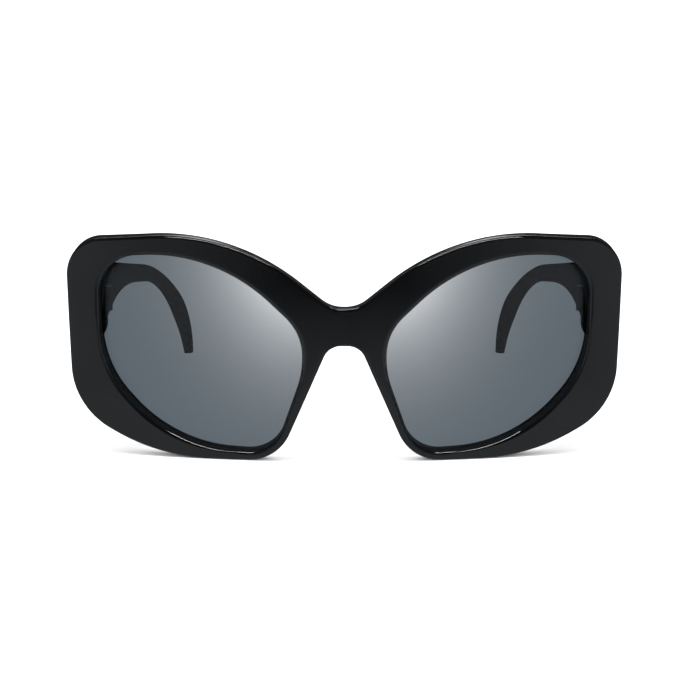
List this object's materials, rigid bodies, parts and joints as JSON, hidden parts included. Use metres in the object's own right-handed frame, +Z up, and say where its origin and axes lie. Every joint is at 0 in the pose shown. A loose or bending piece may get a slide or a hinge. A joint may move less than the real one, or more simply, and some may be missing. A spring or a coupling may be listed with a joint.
{
  "type": "sunglasses",
  "caption": "Oversized glossy sunglasses with a deep domed front, smoke-grey lenses and broad tapering temples that fold inwards on barrel hinges.",
  "frame": {"origin": "on the table at the middle of the bounding box, with the temples open", "axes": "+X across the face towards the wearer's left, +Y back along the temples, +Z up"},
  "size_m": [0.1506, 0.1374, 0.0612],
  "materials": {
    "frame": "polished",
    "pad": "polished",
    "lens": "polished",
    "hinge": "satin",
    "screw": "satin",
    "wire": "satin"
  },
  "bodies": {
    "front": {"front_frame": "frame", "lens_left": "lens", "lens_right": "lens", "nose_pad_left": "pad", "nose_pad_right": "pad", "front_hinge_left": "hinge", "front_hinge_right": "hinge", "hinge_screw_left": "screw", "hinge_screw_right": "screw"},
    "temple_arm_left": {"temple_left": "frame", "temple_hinge_left": "hinge", "core_wire_left": "wire"},
    "temple_arm_right": {"temple_right": "frame", "temple_hinge_right": "hinge", "core_wire_right": "wire"}
  },
  "joints": [
    {"name": "temple_left_fold", "type": "hinge", "parent": "front", "child": "temple_arm_left", "pos_m": [0.06525, -0.0465, 0.0413], "axis": [0, 0, 1], "range_deg": [0, 85]},
    {"name": "temple_right_fold", "type": "hinge", "parent": "front", "child": "temple_arm_right", "pos_m": [-0.06525, -0.0465, 0.0413], "axis": [0, 0, -1], "range_deg": [0, 80]}
  ]
}
